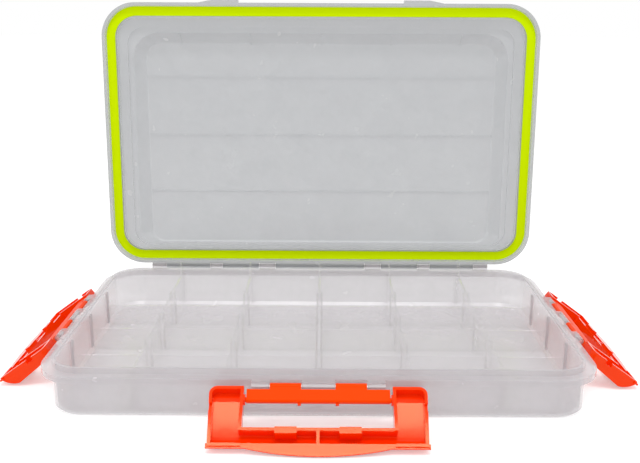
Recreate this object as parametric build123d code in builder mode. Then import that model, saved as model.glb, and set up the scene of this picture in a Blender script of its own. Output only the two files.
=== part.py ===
"""A wide, flat tackle box with a hinged clear lid and three latches, in millimetres, +Z up.

The origin is at the middle of the tray's underside. The lid stands open on its hinge stop and
the three orange latches hang open, as the box lies ready to be filled. Inside, five long
dividers run from front to back and eighteen short ones drop in between their guides.
"""
import os
from math import atan2, cos, degrees, radians, sin, tan

from build123d import *

os.makedirs("parts", exist_ok=True)

# Overall sizes
WIDTH = 356.0  # across the flange, left to right
DEPTH = 216.0  # across the flange, front to back
FLANGE_Z = 29.2  # underside of the tray to the top of its flange
DECK_RISE = 21.8  # top of the flange to the top of the closed lid
CORNER_R = 28.0  # plan radius of the flange
WALL = 1.8  # moulded wall of tray and lid

# Tray
FLANGE_OUT = 6.7  # from the tray's wall out to the edge of the flange
FLANGE_T = 1.6
SKIRT_H = 4.2
SKIRT_T = 1.5
LIP_H = 3.9  # sealing lip above the flange
FOOT_BEVEL = 2.2  # bevel round the underside
FLOOR_BEVEL = 2.2  # bevel round the floor, inside

# Dividers
COLUMN_PITCH = 58.1
COLUMN_EDGES = (-2, -1, 0, 1, 2)
ROW_PITCH = 48.5
ROWS = (-1, 0, 1)
LONG_T = 1.8
LONG_RISE = 1.0  # top of a long divider above the flange
CROSS_T = 1.5
CROSS_DROP = 10.5  # top of a short divider below the flange
GUIDE_T = 1.1
GUIDE_OUT = 1.6
SLIP = 0.15  # clearance of a divider in its guides
END_GAP = 0.25  # clearance at the end of a divider
TIP_RISE = 12.0  # finger tab at the rear of a long divider, above the flange
TIP_L = 6.5

# Lid
SEAT_GAP = 0.3  # flange of the tray to flange of the closed lid
LID_RIM_H = 7.0
LID_RIM_T = 2.6
LID_PLATE = 1.4
DECK_IN = 20.6  # foot of the raised deck, in from the edge at front and sides
DECK_SLOPE = 10.4  # how far its wall leans in on the way up
DECK_REAR_IN = 12.4
DECK_FOOT_R = 24.0
DECK_REAR_R = 12.0
DECK_EDGE_R = 4.0
PLINTH_IN = 17.8  # low step round the deck's foot, in from the edge at front and sides
PLINTH_H = 3.0
PLINTH_R = 15.0
TICK_OUT = 1.0  # short ribs down the front of the deck, above the long dividers
LID_RIB_T = 1.1
LID_RIB_H = 1.3
BUMPER_FROM = 66.8  # inner end of a bumper beside the front latch
BUMPER_FLAT = 20.5
BUMPER_RAMP = 14.0
BUMPER_OUT = 2.3

# Gasket
GASKET_IN = 3.0
GASKET_W = 7.5
GASKET_GAP = 0.3  # over the sealing lip, where the real seal is squeezed
CHANNEL_GAP = 0.3
CHANNEL_T = 1.4
CHANNEL_FOOT = 1.8  # foot of the inner channel wall above the tray's flange

# Lid hinge
LID_OPEN = 93.13  # degrees
HINGE_OUT = 2.8  # axis behind the flange
HINGE_RISE = 3.6  # axis above the flange
KNUCKLE_R = 2.4
KNUCKLE_GAP = 0.4
ROD_R = 1.2
FIT = 0.05  # radial clearance of every pin
TRAY_LUGS = ((38.5, 13.5), (84.0, 10.0), (132.0, 12.0))  # inner end and length, each side

# Latches
SIDE_SHIFT = 3.0  # the side latches sit a little behind the middle
LATCH_DROOP = 36.0  # degrees below level, links and levers at rest
LINK_OUT = 3.5  # link axis outside the flange
LINK_DROP = 3.0  # link axis below the flange
LINK_L = 9.0  # link axis to lever axis
LINK_T = 3.8
LINK_KNUCKLE_R = 2.1
NIB_AT = 11.5  # two small stops on the bar's lower edge
NIB_W = 2.0
NIB_OUT = 1.0
KNUCKLE_AT = 20.0  # middle of each knuckle from the middle of its latch
KNUCKLE_W = 19.0
OUTER_LUG_W = 11.0
PIN_R = 1.1
STUB_R = 1.5
STUB_L = 3.5
BOSS_R = 3.1  # boss on the ear, at the stub
BOSS_OUT = 1.1
LEVER_WALL = 1.9
LEVER_TAIL = 7.6  # behind the lever axis
LEVER_TAIL_R = 5.0  # rounded outer corners of the ears
LEVER_TAPER = 1.6  # each end leans in by this much from tail to lip
LEVER_RIM = 2.5  # rim plane on the box side of the axis
EAR_RIM = 3.3  # the same at the ears, which stand a little prouder
NOTCH_FROM = 3.5  # notch in each end wall, from the lever axis
NOTCH_L = 5.0
NOTCH_DEPTH = 2.6
LEVER_SKIN = 4.9  # outer skin on the far side of the axis
LEVER_BELLY = 6.9  # the same at the crossbar
BELLY_AT = 22.0
BELLY_BULGE = 0.9
LEVER_LIP = 31.0
LIP_T = 1.3
LIP_SIDE = 1.0
LIP_OUT = 1.0
GRIP_OUT = 5.8
GRIP_HALF = 43.0
WINDOW_END = 19.0
SIDE_GAP = 1.6  # link in the lever's window
CATCH_AT = 19.0  # middle of each catch from the middle of the lever
CATCH_W = 13.0
CATCH_REACH = 5.0
CATCH_T = 4.2
CATCH_GAP = 0.2  # hook over the lid's closed rim

# Worked out from the sizes above
BODY_W, BODY_D = WIDTH - 2 * FLANGE_OUT, DEPTH - 2 * FLANGE_OUT
INNER_W, INNER_D = BODY_W - 2 * WALL, BODY_D - 2 * WALL
BODY_R = CORNER_R - FLANGE_OUT
INNER_R = BODY_R - WALL
RIM_Z = FLANGE_Z + SEAT_GAP
RIM_TOP = RIM_Z + LID_RIM_H
DECK_Z = FLANGE_Z + DECK_RISE
ROOF_Z = RIM_TOP - LID_PLATE
LEAN = atan2(DECK_SLOPE, DECK_Z - RIM_TOP)
HINGE_Y = DEPTH / 2 + HINGE_OUT
HINGE_Z = FLANGE_Z + HINGE_RISE
HINGE = Axis((0, HINGE_Y, HINGE_Z), (1, 0, 0))
LONG_X = [COLUMN_PITCH * n for n in COLUMN_EDGES]
ROW_Y = [ROW_PITCH * n for n in ROWS]
TRAY_SPANS = [(side * a if side > 0 else -a - length, length) for a, length in TRAY_LUGS for side in (-1, 1)]
ROD_HALF = TRAY_LUGS[-1][0] + TRAY_LUGS[-1][1]
WELD = 0.4  # how far a rib or lug is let into what carries it

# A station is a latch's own frame: x along the hinge, y outward, z up, at the flange's top edge.
# Each has the half width between its ears and the lever's half width.
FRONT = Plane(origin=(0, -DEPTH / 2, FLANGE_Z), x_dir=(-1, 0, 0), z_dir=(0, 0, 1))
LEFT = Plane(origin=(-WIDTH / 2, SIDE_SHIFT, FLANGE_Z), x_dir=(0, 1, 0), z_dir=(0, 0, 1))
RIGHT = Plane(origin=(WIDTH / 2, SIDE_SHIFT, FLANGE_Z), x_dir=(0, -1, 0), z_dir=(0, 0, 1))
STATIONS = {
    "front": (FRONT, 45.0, 66.0),
    "left": (LEFT, 45.0, 63.0),
    "right": (RIGHT, 45.0, 63.0),
}
DROOP = radians(LATCH_DROOP)
LINK_AXIS = (LINK_OUT, -LINK_DROP)
LEVER_AXIS = (LINK_OUT + LINK_L * cos(DROOP), -LINK_DROP - LINK_L * sin(DROOP))


def save(part, node):
    """Label a finished piece and write it under its own name."""
    part.label = node
    export_step(part, f"parts/{node}.step")


def across(plane, offset=0.0):
    """The plane square to a frame's x, with its y and z as the sketch's two directions."""
    return Plane(origin=plane.from_local_coords((offset, 0, 0)), x_dir=plane.y_dir, z_dir=plane.x_dir)


def lever_frame(station):
    """The lever's frame: x along the hinge, y from its axis to the grip, z out of its open side."""
    outward, up = station.y_dir, station.z_dir
    return Plane(
        origin=station.from_local_coords((0, *LEVER_AXIS)),
        x_dir=station.x_dir,
        z_dir=outward * sin(DROOP) + up * cos(DROOP),
    )


def knuckle(radius):
    """The eight-sided outline of a moulded knuckle or lug, flats square to the box."""
    RegularPolygon(radius, 8, major_radius=False, rotation=180 / 8)


# A broad lug stands between a latch's two knuckles and a narrower one outside each
LUG_INNER = KNUCKLE_AT - KNUCKLE_W / 2 - KNUCKLE_GAP
LUG_OUTER = KNUCKLE_AT + KNUCKLE_W / 2 + KNUCKLE_GAP
LATCH_LUGS = (
    (-LUG_OUTER - OUTER_LUG_W, OUTER_LUG_W),
    (-LUG_INNER, 2 * LUG_INNER),
    (LUG_OUTER, OUTER_LUG_W),
)


with BuildPart() as tray:
    with BuildSketch():
        RectangleRounded(BODY_W, BODY_D, BODY_R)
    extrude(amount=FLANGE_Z + LIP_H)
    chamfer(tray.edges().group_by(Axis.Z)[0], FOOT_BEVEL)
    with BuildSketch(Plane.XY.offset(FLANGE_Z - FLANGE_T)):
        RectangleRounded(WIDTH, DEPTH, CORNER_R)
    extrude(amount=FLANGE_T)
    with BuildSketch(Plane.XY.offset(FLANGE_Z - SKIRT_H)):
        RectangleRounded(WIDTH, DEPTH, CORNER_R)
        RectangleRounded(WIDTH - 2 * SKIRT_T, DEPTH - 2 * SKIRT_T, CORNER_R - SKIRT_T, mode=Mode.SUBTRACT)
    extrude(amount=SKIRT_H)

    # Lugs behind the flange carry the lid's hinge rod
    for start, length in TRAY_SPANS:
        with BuildSketch(Plane.YZ.offset(start)):
            with Locations((HINGE_Y, HINGE_Z)):
                knuckle(KNUCKLE_R)
            with Locations((HINGE_Y, FLANGE_Z - SKIRT_H)):
                Rectangle(2 * KNUCKLE_R, HINGE_RISE + SKIRT_H, align=(Align.CENTER, Align.MIN))
            with Locations((DEPTH / 2 - WELD, FLANGE_Z - SKIRT_H)):
                Rectangle(HINGE_OUT + WELD, SKIRT_H, align=Align.MIN)
        extrude(amount=length)
    with BuildSketch(Plane.YZ.offset(-WIDTH / 2)):
        with Locations((HINGE_Y, HINGE_Z)):
            Circle(ROD_R + FIT)
    extrude(amount=WIDTH, mode=Mode.SUBTRACT)

    # Lugs on three sides carry the links of the latches
    for station, _, _ in STATIONS.values():
        for start, length in LATCH_LUGS:
            with BuildSketch(across(station, start)):
                with Locations(LINK_AXIS):
                    knuckle(LINK_KNUCKLE_R)
                with Locations((-WELD, 0)):
                    Rectangle(LINK_OUT + WELD, SKIRT_H, align=(Align.MIN, Align.MAX))
                with Locations(LINK_AXIS):
                    Circle(PIN_R + FIT, mode=Mode.SUBTRACT)
            extrude(amount=length)

    # The hollow, and the upright guides that hold the dividers' ends
    with BuildSketch(Plane.XY.offset(WALL)):
        RectangleRounded(INNER_W, INNER_D, INNER_R)
    extrude(amount=FLANGE_Z + LIP_H, mode=Mode.SUBTRACT)
    floor_edges = tray.faces().filter_by(Plane.XY.offset(WALL)).sort_by(SortBy.AREA)[-1].edges()
    chamfer(floor_edges, FLOOR_BEVEL)
    long_guide = LONG_T / 2 + SLIP + GUIDE_T / 2
    cross_guide = CROSS_T / 2 + SLIP + GUIDE_T / 2
    with BuildSketch(Plane.XY.offset(WALL + FLOOR_BEVEL)):
        wall_y = INNER_D / 2 + WELD - (GUIDE_OUT + WELD) / 2
        wall_x = INNER_W / 2 + WELD - (GUIDE_OUT + WELD) / 2
        with Locations(*[(x + h * long_guide, s * wall_y) for x in LONG_X for h in (-1, 1) for s in (-1, 1)]):
            Rectangle(GUIDE_T, GUIDE_OUT + WELD)
        with Locations(*[(s * wall_x, y + h * cross_guide) for y in ROW_Y for h in (-1, 1) for s in (-1, 1)]):
            Rectangle(GUIDE_OUT + WELD, GUIDE_T)
    extrude(amount=FLANGE_Z - WALL - FLOOR_BEVEL)
save(tray.part, "tray")


def long_divider(number, x):
    """A plate from front to back with a finger tab at its rear and guides at each row."""
    half = INNER_D / 2 - END_GAP
    top = FLANGE_Z + LONG_RISE
    toe = FLOOR_BEVEL + SLIP
    tab_end = DEPTH / 2 - DECK_REAR_IN - WALL - 2 * END_GAP
    with BuildPart() as divider:
        with BuildSketch(Plane.YZ.offset(x - LONG_T / 2)):
            with BuildLine():
                Polyline(
                    (-half + toe, WALL),
                    (half - toe, WALL),
                    (half, WALL + toe),
                    (half, top),
                    (tab_end, top),
                    (tab_end, FLANGE_Z + TIP_RISE),
                    (tab_end - TIP_L / 3, FLANGE_Z + TIP_RISE),
                    (tab_end - TIP_L, top),
                    (-half, top),
                    (-half, WALL + toe),
                    close=True,
                )
            make_face()
        extrude(amount=LONG_T)
        guide_y = CROSS_T / 2 + SLIP + GUIDE_T / 2
        with BuildSketch(Plane.XY.offset(WALL)):
            with Locations(*[(x, y + h * guide_y) for y in ROW_Y for h in (-1, 1)]):
                Rectangle(LONG_T + 2 * GUIDE_OUT, GUIDE_T)
        extrude(amount=top - WALL)
    save(divider.part, f"long_divider_{number}")


for number, x in enumerate(LONG_X, start=1):
    long_divider(number, x)


def cross_divider(node, left, right, y):
    """A short plate that drops between the guides of two neighbours, with cut-back toes."""
    toe = FLOOR_BEVEL + SLIP
    top = FLANGE_Z - CROSS_DROP
    with BuildPart() as divider:
        with BuildSketch(Plane.XZ.offset(-y - CROSS_T / 2)):
            with BuildLine():
                Polyline(
                    (left + toe, WALL),
                    (right - toe, WALL),
                    (right, WALL + toe),
                    (right, top),
                    (left, top),
                    (left, WALL + toe),
                    close=True,
                )
            make_face()
        extrude(amount=CROSS_T)
    save(divider.part, node)


# Each column lies between two long dividers, or between one and the tray's side wall
walls = [-INNER_W / 2, *LONG_X, INNER_W / 2]
for column in range(len(walls) - 1):
    start = walls[column] + (LONG_T / 2 if column else 0) + END_GAP
    end = walls[column + 1] - (LONG_T / 2 if column + 2 < len(walls) else 0) - END_GAP
    for row, y in enumerate(ROW_Y, start=1):
        cross_divider(f"cross_divider_{column + 1}_{row}", start, end, y)


def slope_y(z):
    """Where the inner face of the deck's front wall stands at a height."""
    return -DEPTH / 2 + DECK_IN + WALL / cos(LEAN) + (z - RIM_TOP) * tan(LEAN)


def deck_block(inset, foot, top):
    """The raised deck as a block: walls that lean in at front and sides, and a steep rear."""
    side_in = inset / cos(LEAN) - (RIM_TOP - foot) * tan(LEAN)
    front = DEPTH / 2 - DECK_IN - side_in
    rear = DEPTH / 2 - DECK_REAR_IN - inset
    side = WIDTH / 2 - DECK_IN - side_in
    with BuildPart() as block:
        with BuildSketch(Plane.XY.offset(foot)):
            with Locations((0, -front)):
                RectangleRounded(2 * side, 2 * DEPTH, DECK_FOOT_R - side_in, align=(Align.CENTER, Align.MIN))
        extrude(amount=top - foot, taper=degrees(LEAN))
        split(bisect_by=Plane(origin=(0, rear, 0), z_dir=(0, -1, 0)), keep=Keep.TOP)
        rear_edges = block.faces().sort_by(Axis.Y)[-1].edges().sort_by(Axis.X)
        fillet([rear_edges[0], rear_edges[-1]], DECK_REAR_R - inset)
        fillet(block.faces().sort_by(Axis.Z)[-1].edges(), DECK_EDGE_R - inset)
    return block.part


def plinth_block(inset, foot, top):
    """The low step round the deck's foot, which ends level with the deck at the rear."""
    side = WIDTH / 2 - PLINTH_IN - inset
    front = DEPTH / 2 - PLINTH_IN - inset
    rear = DEPTH / 2 - DECK_REAR_IN - inset
    with BuildPart() as block:
        with BuildSketch(Plane.XY.offset(foot)):
            with Locations((0, -front)):
                RectangleRounded(2 * side, front + rear, PLINTH_R - inset, align=(Align.CENTER, Align.MIN))
        extrude(amount=top - foot)
    return block.part


deck_outside = deck_block(0, ROOF_Z, DECK_Z)
deck_inside = deck_block(WALL, ROOF_Z - WELD, DECK_Z - WALL)
plinth_outside = plinth_block(0, ROOF_Z, RIM_TOP + PLINTH_H)
plinth_inside = plinth_block(WALL, ROOF_Z - WELD, RIM_TOP + PLINTH_H - WALL)

# The lid is drawn closed and then swung open
with BuildPart() as lid:
    with BuildSketch(Plane.XY.offset(RIM_Z)):
        RectangleRounded(WIDTH, DEPTH, CORNER_R)
    extrude(amount=LID_RIM_H)
    add(deck_outside)
    add(plinth_outside)
    with BuildSketch(Plane.XY.offset(RIM_Z)):
        RectangleRounded(WIDTH - 2 * LID_RIM_T, DEPTH - 2 * LID_RIM_T, CORNER_R - LID_RIM_T)
    extrude(amount=ROOF_Z - RIM_Z, mode=Mode.SUBTRACT)
    add(deck_inside, mode=Mode.SUBTRACT)
    add(plinth_inside, mode=Mode.SUBTRACT)

    # The inner wall of the gasket's channel
    channel = GASKET_IN + GASKET_W + CHANNEL_GAP
    with BuildSketch(Plane.XY.offset(FLANGE_Z + CHANNEL_FOOT)):
        RectangleRounded(WIDTH - 2 * channel, DEPTH - 2 * channel, CORNER_R - channel)
        inner = channel + CHANNEL_T
        RectangleRounded(WIDTH - 2 * inner, DEPTH - 2 * inner, CORNER_R - inner, mode=Mode.SUBTRACT)
    extrude(amount=ROOF_Z - FLANGE_Z - CHANNEL_FOOT + WELD)

    # Thin ribs under the deck, over the rows of short dividers
    with BuildSketch(Plane.XY.offset(DECK_Z - WALL - LID_RIB_H)):
        with Locations(*[(0, y) for y in ROW_Y]):
            Rectangle(WIDTH - 2 * (DECK_IN + DECK_SLOPE + WALL), LID_RIB_T)
    extrude(amount=LID_RIB_H + WELD)

    # Short ribs down the inside of the deck's front wall, above the long dividers
    tick_top, tick_foot = DECK_Z - WALL + WELD, RIM_TOP + PLINTH_H - WELD
    for x in LONG_X:
        with BuildSketch(Plane.YZ.offset(x - LID_RIB_T / 2)):
            with BuildLine():
                Polyline(
                    (slope_y(tick_top) - WELD, tick_top),
                    (slope_y(tick_top) + TICK_OUT, tick_top),
                    (slope_y(tick_foot) + TICK_OUT, tick_foot),
                    (slope_y(tick_foot) - WELD, tick_foot),
                    close=True,
                )
            make_face()
        extrude(amount=LID_RIB_T)

    # Bumpers on the front edge, one on each side of the front latch
    for side in (-1, 1):
        with BuildSketch(Plane.XY.offset(RIM_Z)):
            with BuildLine():
                Polyline(
                    (side * BUMPER_FROM, WELD - DEPTH / 2),
                    (side * BUMPER_FROM, -DEPTH / 2 - BUMPER_OUT),
                    (side * (BUMPER_FROM + BUMPER_FLAT), -DEPTH / 2 - BUMPER_OUT),
                    (side * (BUMPER_FROM + BUMPER_FLAT + BUMPER_RAMP), WELD - DEPTH / 2),
                    close=True,
                )
            make_face()
        extrude(amount=LID_RIM_H)

    # Knuckles fill the hinge line between the tray's lugs
    ends = sorted([start for start, _ in TRAY_SPANS] + [start + length for start, length in TRAY_SPANS])
    for start, end in zip(ends[1:-1:2], ends[2:-1:2]):
        with BuildSketch(Plane.YZ.offset(start + KNUCKLE_GAP)):
            with Locations((HINGE_Y, HINGE_Z)):
                knuckle(KNUCKLE_R)
                Rectangle(HINGE_OUT + WELD, 2 * KNUCKLE_R, align=(Align.MAX, Align.CENTER))
                Circle(ROD_R + FIT, mode=Mode.SUBTRACT)
        extrude(amount=end - start - 2 * KNUCKLE_GAP)
save(lid.part.rotate(HINGE, -LID_OPEN), "lid")

with BuildPart() as gasket:
    with BuildSketch(Plane.XY.offset(FLANGE_Z + LIP_H + GASKET_GAP)):
        RectangleRounded(WIDTH - 2 * GASKET_IN, DEPTH - 2 * GASKET_IN, CORNER_R - GASKET_IN)
        inner = GASKET_IN + GASKET_W
        RectangleRounded(WIDTH - 2 * inner, DEPTH - 2 * inner, CORNER_R - inner, mode=Mode.SUBTRACT)
    extrude(amount=ROOF_Z - FLANGE_Z - LIP_H - GASKET_GAP)
save(gasket.part.rotate(HINGE, -LID_OPEN), "gasket")

with BuildPart() as hinge_rod:
    with BuildSketch(Plane.YZ.offset(-ROD_HALF)):
        with Locations((HINGE_Y, HINGE_Z)):
            Circle(ROD_R)
    extrude(amount=2 * ROD_HALF)
save(hinge_rod.part, "lid_hinge_rod")


def link(side, station, ears):
    """The short bar between tray and lever: knuckles on one edge, stub pins at its ends."""
    half = ears - SIDE_GAP
    bar = Plane(
        origin=station.from_local_coords((0, *LINK_AXIS)),
        x_dir=station.x_dir,
        z_dir=lever_frame(station).z_dir,
    )
    near = LINK_KNUCKLE_R + 1.5 * KNUCKLE_GAP
    far = LINK_L + LINK_T / 2
    with BuildPart() as piece:
        with BuildSketch(across(bar, -half)):
            with Locations((near, 0)):
                Rectangle(far - near, LINK_T, align=(Align.MIN, Align.CENTER))
        extrude(amount=2 * half)
        long_edges = piece.edges().filter_by(Axis(bar.origin, bar.x_dir))
        chamfer(long_edges.group_by(Axis(bar.origin, bar.y_dir))[-1], LINK_T / 4)
        with BuildSketch(across(bar, -ears - STUB_L + BOSS_OUT)):
            with Locations((LINK_L, 0)):
                Circle(STUB_R)
        extrude(amount=2 * (ears + STUB_L - BOSS_OUT))
        for hand in (-1, 1):
            with BuildSketch(across(bar, hand * KNUCKLE_AT - KNUCKLE_W / 2)):
                knuckle(LINK_KNUCKLE_R)
                Rectangle(near + WELD, LINK_T, align=(Align.MIN, Align.CENTER))
                Circle(PIN_R + FIT, mode=Mode.SUBTRACT)
            extrude(amount=KNUCKLE_W)
            with BuildSketch(bar.offset(-LINK_T / 2)):
                with Locations((hand * NIB_AT, far - WELD)):
                    Rectangle(NIB_W, NIB_OUT + WELD, align=(Align.CENTER, Align.MIN))
            extrude(amount=LINK_T / 2)
    save(piece.part, f"{side}_latch_link")


def latch_pin(side, station):
    """A straight pin through the three lugs and two knuckles."""
    half = LUG_OUTER + OUTER_LUG_W
    with BuildPart() as piece:
        with BuildSketch(across(station, -half)):
            with Locations(LINK_AXIS):
                Circle(PIN_R)
        extrude(amount=2 * half)
    save(piece.part, f"{side}_latch_pin")


def shell_outline(inset, top):
    """The lever's side profile from tail to lip, in by a wall's thickness, up to a level."""
    tail, lip = inset - LEVER_TAIL, LEVER_LIP - inset
    skin, belly = inset - LEVER_SKIN, inset - LEVER_BELLY
    shoulder = LEVER_RIM - LIP_T
    bulge = ((BELLY_AT + lip) / 2 + BELLY_BULGE, (belly + shoulder) / 2 - BELLY_BULGE)
    with BuildSketch() as outline:
        with BuildLine():
            Polyline((lip, shoulder), (lip, top), (tail, top), (tail, skin), (0, skin), (BELLY_AT, belly))
            ThreePointArc((BELLY_AT, belly), bulge, (lip, shoulder))
        make_face()
    return outline.sketch


def lever_block(frame, half, inset, top):
    """The lever's outside or its hollow: the side profile kept within the tapered plan."""
    tail, lip = inset - LEVER_TAIL, LEVER_LIP - inset
    wide, narrow = half - inset, half - inset - LEVER_TAPER
    with BuildPart() as block:
        with BuildSketch(across(frame)):
            add(shell_outline(inset, top))
        extrude(amount=half, both=True)
        with BuildSketch(frame) as plan:
            with BuildLine():
                Polyline((-wide, tail), (wide, tail), (narrow, lip), (-narrow, lip), close=True)
            make_face()
            fillet(plan.vertices().group_by(Axis.Y)[0], LEVER_TAIL_R - inset)
        extrude(amount=2 * LEVER_BELLY, both=True, mode=Mode.INTERSECT)
    return block.part


def lever(side, station, ears, half):
    """The orange lever: a shell open towards the box, with a window, two catches and a grip."""
    frame = lever_frame(station)
    catch_at = LINK_DROP + LINK_L + SEAT_GAP + LID_RIM_H + CATCH_GAP
    outside = shell_outline(0, LEVER_RIM)
    with BuildPart() as piece:
        add(lever_block(frame, half, 0, EAR_RIM))
        add(lever_block(frame, half, LEVER_WALL, LEVER_RIM + LEVER_SKIN), mode=Mode.SUBTRACT)

        # A wall all round the window, and the window through it
        with BuildSketch(across(frame)):
            add(shell_outline(0, EAR_RIM))
            with Locations((WINDOW_END + LEVER_WALL, 0)):
                Rectangle(2 * LEVER_LIP, 4 * LEVER_BELLY, align=(Align.MAX, Align.CENTER), mode=Mode.INTERSECT)
        extrude(amount=ears + LEVER_WALL, both=True)
        with BuildSketch(frame):
            with Locations((0, WINDOW_END)):
                Rectangle(2 * ears, 2 * LEVER_LIP, align=(Align.CENTER, Align.MAX))
        extrude(amount=2 * LEVER_BELLY, both=True, mode=Mode.SUBTRACT)
        with BuildSketch(frame.offset(LEVER_RIM)):
            Rectangle(2 * ears, 4 * LEVER_LIP)
        extrude(amount=LEVER_BELLY, mode=Mode.SUBTRACT)

        # The lip along the far edge and the curved grip in its middle
        with BuildSketch(frame.offset(LEVER_RIM - LIP_T)):
            with Locations((0, LEVER_LIP - LEVER_WALL)):
                Rectangle(2 * (half - LEVER_TAPER + LIP_SIDE), LEVER_WALL + LIP_OUT, align=(Align.CENTER, Align.MIN))
            edge = LEVER_LIP + LIP_OUT
            with BuildLine():
                Line((GRIP_HALF, edge), (-GRIP_HALF, edge))
                ThreePointArc((-GRIP_HALF, edge), (0, LEVER_LIP + GRIP_OUT), (GRIP_HALF, edge))
            make_face()
        extrude(amount=LIP_T)

        # Two catches hook over the lid's rim, with a web between them
        for x in (-CATCH_AT, CATCH_AT):
            with BuildSketch(across(frame, x - CATCH_W / 2)):
                with Locations((catch_at, -LEVER_SKIN)):
                    Rectangle(CATCH_T, LEVER_SKIN + CATCH_REACH, align=Align.MIN)
            extrude(amount=CATCH_W)
        with BuildSketch(across(frame, -LEVER_WALL / 2)):
            add(outside)
            with Locations((WINDOW_END, 0)):
                Rectangle(LEVER_LIP, 4 * LEVER_BELLY, align=(Align.MIN, Align.CENTER), mode=Mode.INTERSECT)
        extrude(amount=LEVER_WALL)

        # Bosses on the ears with holes for the link's stub pins, and the notches in the end walls
        for hand in (-1, 1):
            with BuildSketch(across(frame, hand * ears)):
                knuckle(BOSS_R)
            extrude(amount=-hand * BOSS_OUT)
        with BuildSketch(across(frame, -ears - STUB_L)):
            Circle(STUB_R + FIT)
        extrude(amount=2 * (ears + STUB_L), mode=Mode.SUBTRACT)
        with BuildSketch(frame.offset(EAR_RIM - NOTCH_DEPTH)):
            with Locations(*[(hand * half, NOTCH_FROM) for hand in (-1, 1)]):
                Rectangle(3 * LEVER_WALL, NOTCH_L, align=(Align.CENTER, Align.MIN))
        extrude(amount=NOTCH_DEPTH, mode=Mode.SUBTRACT)
    save(piece.part, f"{side}_latch_lever")


for side, (station, ears, half) in STATIONS.items():
    link(side, station, ears)
    latch_pin(side, station)
    lever(side, station, ears, half)
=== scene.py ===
# %% [markdown]
# A wide tackle box stands open on a pale table. Its tray and lid are milky see-through
# polypropylene, its seal is lime silicone rubber, and its three lever latches are orange
# plastic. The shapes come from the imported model, which is the fixed frame, so most of the work
# here is light and finish: a see-through box is drawn by what shows through it.

# %% Load the frame
from math import cos, radians, sin

import bpy
from mathutils import Matrix, Vector

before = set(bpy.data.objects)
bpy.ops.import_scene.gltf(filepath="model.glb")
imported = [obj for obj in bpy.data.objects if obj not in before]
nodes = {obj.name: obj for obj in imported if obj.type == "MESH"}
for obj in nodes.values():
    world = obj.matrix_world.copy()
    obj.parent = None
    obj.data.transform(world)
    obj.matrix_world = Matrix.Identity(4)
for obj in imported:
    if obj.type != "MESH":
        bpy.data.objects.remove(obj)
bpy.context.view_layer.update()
MM = 0.001

# %% [markdown]
# Colours are given in sRGB, as a screen shows them, and the renderer works in linear
# light, so one function turns a hex value into what a shader expects. Another adds a node with
# its settings and its links in one line, which keeps each material short enough to read.

# %% Two helpers for materials
def linear(hex_code):
    """An sRGB hex value, such as "#f94f02", as a linear colour with full alpha."""
    channels = [int(hex_code[i:i + 2], 16) / 255 for i in (1, 3, 5)]
    return [c / 12.92 if c <= 0.04045 else ((c + 0.055) / 1.055) ** 2.4 for c in channels] + [1.0]


def add(tree, kind, inputs=None, **settings):
    """Adds a node. Inputs maps a socket to a value, or to the output that feeds it."""
    node = tree.nodes.new(kind)
    for name, value in settings.items():
        setattr(node, name, value)
    for socket, value in (inputs or {}).items():
        if isinstance(value, bpy.types.NodeSocket):
            tree.links.new(value, node.inputs[socket])
        else:
            node.inputs[socket].default_value = value
    return node


def empty_material(name):
    """A new material with an empty node tree."""
    material = bpy.data.materials.new(name)
    material.use_nodes = True
    material.node_tree.nodes.clear()
    return material, material.node_tree


# %% [markdown]
# The camera stands in front of the box, a little above it, and looks down at about 15 degrees.
# Its distance and lens were worked out from how the tray's and the lid's outlines converge.
# A matrix built from three directions places it exactly, with the slight roll of a hand-held
# shot.

# %% Camera
PITCH = radians(15.356)
YAW = radians(-0.134)
ROLL = radians(0.281)
CAMERA_AT = Vector((1.6, -580.8, 253.3)) * MM
LENS_PER_WIDTH = 840.84 / 640
SENSOR = 36.0

forward = Vector((sin(YAW) * cos(PITCH), cos(YAW) * cos(PITCH), -sin(PITCH)))
level = Vector((cos(YAW), -sin(YAW), 0))
upright = level.cross(forward)
right = level * cos(ROLL) + upright * sin(ROLL)
up = upright * cos(ROLL) - level * sin(ROLL)
camera_data = bpy.data.cameras.new("camera")
camera_data.sensor_width = SENSOR
camera_data.lens = SENSOR * LENS_PER_WIDTH
camera_data.clip_start = 10 * MM
camera = bpy.data.objects.new("camera", camera_data)
turn = Matrix((right, up, -forward)).transposed().to_4x4()
camera.matrix_world = Matrix.Translation(CAMERA_AT) @ turn
bpy.context.scene.collection.objects.link(camera)
bpy.context.scene.camera = camera
print("the lens is", round(camera_data.lens, 1), "mm")

# %% [markdown]
# The room is white, as in a product shot. The camera, a gloss and clear plastic see it at full
# strength, and as a lamp it is dimmer, so that colours render as they are written. A line of sight
# can cross the lid, the tray and a row of dividers, each with two surfaces or more, so the limit
# on clear layers is raised until none of them ends in black.

# %% White room
WORLD_LIGHT = 0.8
CLEAR_LAYERS = 48
WHITE = (1, 1, 1, 1)

scene = bpy.context.scene
scene.view_settings.view_transform = "Standard"
scene.cycles.transparent_max_bounces = CLEAR_LAYERS
world = bpy.data.worlds.new("white_room")
world.use_nodes = True
tree = world.node_tree
tree.nodes.clear()


def looked_at(tree):
    """An output of 1 where a surface is seen by the camera, in a gloss or through something clear."""
    path = add(tree, "ShaderNodeLightPath")
    straight, glossy = path.outputs["Is Camera Ray"], path.outputs["Is Glossy Ray"]
    seen = add(tree, "ShaderNodeMath", {0: straight, 1: glossy}, operation="MAXIMUM")
    through = path.outputs["Is Transmission Ray"]
    seen = add(tree, "ShaderNodeMath", {0: seen.outputs[0], 1: through}, operation="MAXIMUM")
    return seen.outputs[0]


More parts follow.
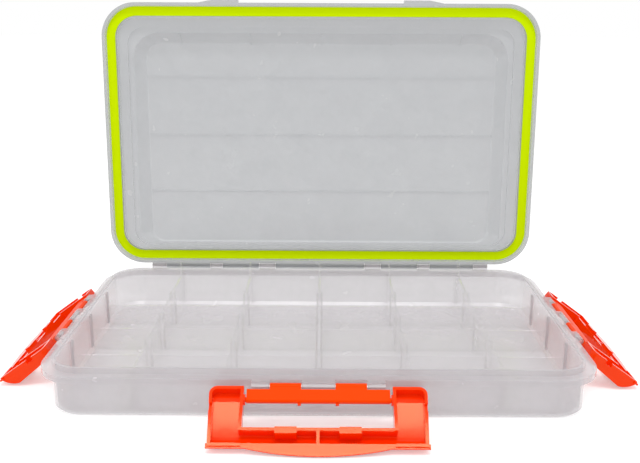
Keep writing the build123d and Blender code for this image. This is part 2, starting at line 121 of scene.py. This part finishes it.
strength = add(
    tree,
    "ShaderNodeMapRange",
    {"Value": looked_at(tree), "To Min": WORLD_LIGHT, "To Max": 1.0},
)
backdrop = add(tree, "ShaderNodeBackground", {"Color": WHITE, "Strength": strength.outputs[0]})
add(tree, "ShaderNodeOutputWorld", {"Surface": backdrop.outputs[0]})
scene.world = world

# %% [markdown]
# Two lamps shape the object. An oblong panel hangs 1.25 m up and faces straight down. It is placed
# where the open front lever mirrors it towards the camera: the hollows of the lever's two ears and
# its curved grip glare, and the walls round them, which face elsewhere, stay a deep red. A broad,
# weak panel fills in from the front.

# %% Lamps
OVERHEAD_AT = (0.0, -0.4825, 1.25)
OVERHEAD_AIM = (0.0, -0.4825, 0.0)
OVERHEAD_SIZE = (0.62, 0.245)
OVERHEAD_WATTS = 5.6
FRONT_AT = (-0.3, -1.5, 0.8)
FRONT_AIM = (0.0, 0.0, 0.1)
FRONT_SIZE = (1.2, 0.8)
FRONT_WATTS = 1.5


def panel(name, at, aim, size, watts):
    """A soft oblong lamp at a place in metres, turned towards a point."""
    data = bpy.data.lights.new(name, "AREA")
    data.shape = "RECTANGLE"
    data.size, data.size_y = size
    data.energy = watts
    lamp = bpy.data.objects.new(name, data)
    lamp.location = at
    lamp.rotation_euler = (Vector(aim) - Vector(at)).to_track_quat("-Z", "Y").to_euler()
    scene.collection.objects.link(lamp)


panel("overhead", OVERHEAD_AT, OVERHEAD_AIM, OVERHEAD_SIZE, OVERHEAD_WATTS)
panel("front_fill", FRONT_AT, FRONT_AIM, FRONT_SIZE, FRONT_WATTS)
print("the overhead panel is", OVERHEAD_SIZE, "m and", OVERHEAD_AT[2], "m up")

# %% [markdown]
# The floor is a plain disc of matt white paper, wide enough that its edge is out of sight. Where
# it is looked at, also in a gloss or through the plastic, it glows a little, so that it meets the
# white room with no edge. It still takes the box's soft shadow, and the latches tint it.

# %% Floor
FLOOR_RADIUS = 6.0
FLOOR_GLOW = 0.34
FLOOR_DROP = 0.3 * MM

bpy.ops.mesh.primitive_circle_add(
    vertices=64, radius=FLOOR_RADIUS, fill_type="NGON", location=(0, 0, -FLOOR_DROP)
)
floor = bpy.context.object
floor.name = "floor"
material, tree = empty_material("matt_paper")
glow = add(tree, "ShaderNodeMath", {0: looked_at(tree), 1: FLOOR_GLOW}, operation="MULTIPLY")
light = add(tree, "ShaderNodeEmission", {"Color": WHITE, "Strength": glow.outputs[0]})
paper = add(tree, "ShaderNodeBsdfDiffuse", {"Color": linear("#f4f4f4")})
both = add(tree, "ShaderNodeAddShader", {0: light.outputs[0], 1: paper.outputs[0]})
add(tree, "ShaderNodeOutputMaterial", {"Surface": both.outputs[0]})
floor.data.materials.append(material)

# %% [markdown]
# Natural polypropylene is milky. A moulded wall two millimetres thick lets part of the light
# straight through, scatters the rest, and has a soft gloss from the mould. Refraction through each
# wall would be truer, but it leaves the compartments dark, so the clear share is a Transparent
# shader, which also lets the lamps reach the bottom. The milky share is half Diffuse, lit from the
# front, and half Translucent, lit from behind. A ray meets two surfaces at every wall, so the
# share given here counts twice. The gloss follows Fresnel and lies on outer surfaces only: on the
# way out of a wall it would turn slanted parts dark, because a Transparent shader doesn't bend
# light. Flow marks of the moulding, about 14 mm apart, make share, gloss and surface a little
# uneven.

# %% Milky polypropylene
FLOW_MARKS = 14 * MM
RIPPLE_DEPTH = 0.4 * MM
POLYPROPYLENE_IOR = 1.49
MOULD_GLOSS = 0.25
UNEVEN_GLOSS = 0.06
UNEVEN_SHARE = 0.04
BACK_SHARE = 0.5


def polypropylene(name, passes, milk):
    """Natural polypropylene. One surface lets the share passes straight through; milk is the rest."""
    material, tree = empty_material(name)
    place = add(tree, "ShaderNodeTexCoord")
    flow = add(
        tree,
        "ShaderNodeTexNoise",
        {"Vector": place.outputs["Object"], "Scale": 1 / FLOW_MARKS, "Detail": 3.0},
    )
    marks = flow.outputs["Fac"]
    ripple = add(
        tree,
        "ShaderNodeBump",
        {"Height": marks, "Strength": 0.12, "Distance": RIPPLE_DEPTH},
    )
    haze = add(
        tree,
        "ShaderNodeMapRange",
        {"Value": marks, "To Min": MOULD_GLOSS - UNEVEN_GLOSS, "To Max": MOULD_GLOSS + UNEVEN_GLOSS},
    )
    share = add(
        tree,
        "ShaderNodeMapRange",
        {"Value": marks, "To Min": passes - UNEVEN_SHARE, "To Max": passes + UNEVEN_SHARE},
    )

    # The wall: milk lit from both sides, and a clear share
    front_lit = add(tree, "ShaderNodeBsdfDiffuse", {"Color": linear(milk)})
    back_lit = add(tree, "ShaderNodeBsdfTranslucent", {"Color": linear(milk)})
    milky = add(
        tree,
        "ShaderNodeMixShader",
        {0: BACK_SHARE, 1: front_lit.outputs[0], 2: back_lit.outputs[0]},
    )
    clear = add(tree, "ShaderNodeBsdfTransparent", {"Color": WHITE})
    wall = add(
        tree,
        "ShaderNodeMixShader",
        {0: share.outputs[0], 1: milky.outputs[0], 2: clear.outputs[0]},
    )

    # The gloss, by Fresnel, where a surface is met from outside
    gloss = add(
        tree,
        "ShaderNodeBsdfGlossy",
        {"Color": WHITE, "Roughness": haze.outputs[0], "Normal": ripple.outputs[0]},
    )
    mirror = add(tree, "ShaderNodeFresnel", {"IOR": POLYPROPYLENE_IOR, "Normal": ripple.outputs[0]})
    side = add(tree, "ShaderNodeNewGeometry")
    outside = add(tree, "ShaderNodeMath", {0: 1.0, 1: side.outputs["Backfacing"]}, operation="SUBTRACT")
    mirrored = add(
        tree,
        "ShaderNodeMath",
        {0: outside.outputs[0], 1: mirror.outputs[0]},
        operation="MULTIPLY",
    )
    whole = add(
        tree,
        "ShaderNodeMixShader",
        {0: mirrored.outputs[0], 1: wall.outputs[0], 2: gloss.outputs[0]},
    )
    add(tree, "ShaderNodeOutputMaterial", {"Surface": whole.outputs[0]})
    return material


tray_plastic = polypropylene("milky_polypropylene_tray", 0.6, "#d6d2d5")
lid_plastic = polypropylene("milky_polypropylene_lid", 0.45, "#b8babd")
divider_plastic = polypropylene("milky_polypropylene_divider", 0.88, "#e6e4e5")

# %% [markdown]
# The other pieces are opaque, and one function makes them all from a Principled shader. The
# levers and links are moulded ABS. The levers come from a polished mould and mirror the lamp
# sharply, while the links are satin. Both take a warm Specular Tint, because their reflections
# of a white room would turn the orange pink. The seal is soft lime silicone with a dull surface.
# The rod and the pins are drawn steel, which is nearly hidden in the knuckles. All have a fine
# grain, drawn 2.5 mm wide, coarser than the real one, so that it shows.

# %% Orange plastic, lime silicone and steel
GRAIN = 2.5 * MM
GRAIN_DEPTH = 0.1 * MM
UNEVEN_GRAIN = 0.03
ABS_IOR = 1.53
SILICONE_IOR = 1.41


def opaque(name, tint, roughness, more):
    """A moulded or drawn finish of one colour, with a fine grain. More sets sockets by name."""
    material, tree = empty_material(name)
    place = add(tree, "ShaderNodeTexCoord")
    noise = add(
        tree,
        "ShaderNodeTexNoise",
        {"Vector": place.outputs["Object"], "Scale": 1 / GRAIN, "Detail": 3.0},
    )
    grain = noise.outputs["Fac"]
    haze = add(
        tree,
        "ShaderNodeMapRange",
        {"Value": grain, "To Min": roughness - UNEVEN_GRAIN, "To Max": roughness + UNEVEN_GRAIN},
    )
    bump = add(tree, "ShaderNodeBump", {"Height": grain, "Strength": 0.05, "Distance": GRAIN_DEPTH})
    body = add(
        tree,
        "ShaderNodeBsdfPrincipled",
        {
            "Base Color": linear(tint),
            "Roughness": haze.outputs[0],
            "Normal": bump.outputs[0],
            **more,
        },
    )
    add(tree, "ShaderNodeOutputMaterial", {"Surface": body.outputs[0]})
    return material


glossy_orange = opaque(
    "glossy_orange_abs",
    "#fb3600",
    0.08,
    {"IOR": ABS_IOR, "Specular IOR Level": 0.35, "Specular Tint": linear("#ffd0a0")},
)
satin_orange = opaque(
    "satin_orange_abs",
    "#fb4400",
    0.45,
    {"IOR": ABS_IOR, "Specular IOR Level": 0.15, "Specular Tint": linear("#ffb080")},
)
lime_rubber = opaque(
    "lime_silicone",
    "#d2f000",
    0.5,
    {"IOR": SILICONE_IOR, "Specular IOR Level": 0.2, "Specular Tint": linear("#e0ff60")},
)
steel = opaque("drawn_steel", "#e6e4e4", 0.55, {"Metallic": 1.0})

# %% [markdown]
# Each piece of the frame is named for what it is, so its name picks its finish. The frame's own
# meshes are kept: they already have the walls, ribs, knuckles and rounded corners of the box.

# %% Put each finish on its pieces
def finish_of(name):
    """The finish that a piece is moulded or drawn in."""
    if name == "tray":
        return tray_plastic
    if name == "lid":
        return lid_plastic
    if name == "gasket":
        return lime_rubber
    if "divider" in name:
        return divider_plastic
    if name.endswith(("pin", "rod")):
        return steel
    if name.endswith("link"):
        return satin_orange
    return glossy_orange


for name, node in nodes.items():
    node.data.materials.clear()
    node.data.materials.append(finish_of(name))
print(len(nodes), "pieces have", len({finish_of(name).name for name in nodes}), "finishes")
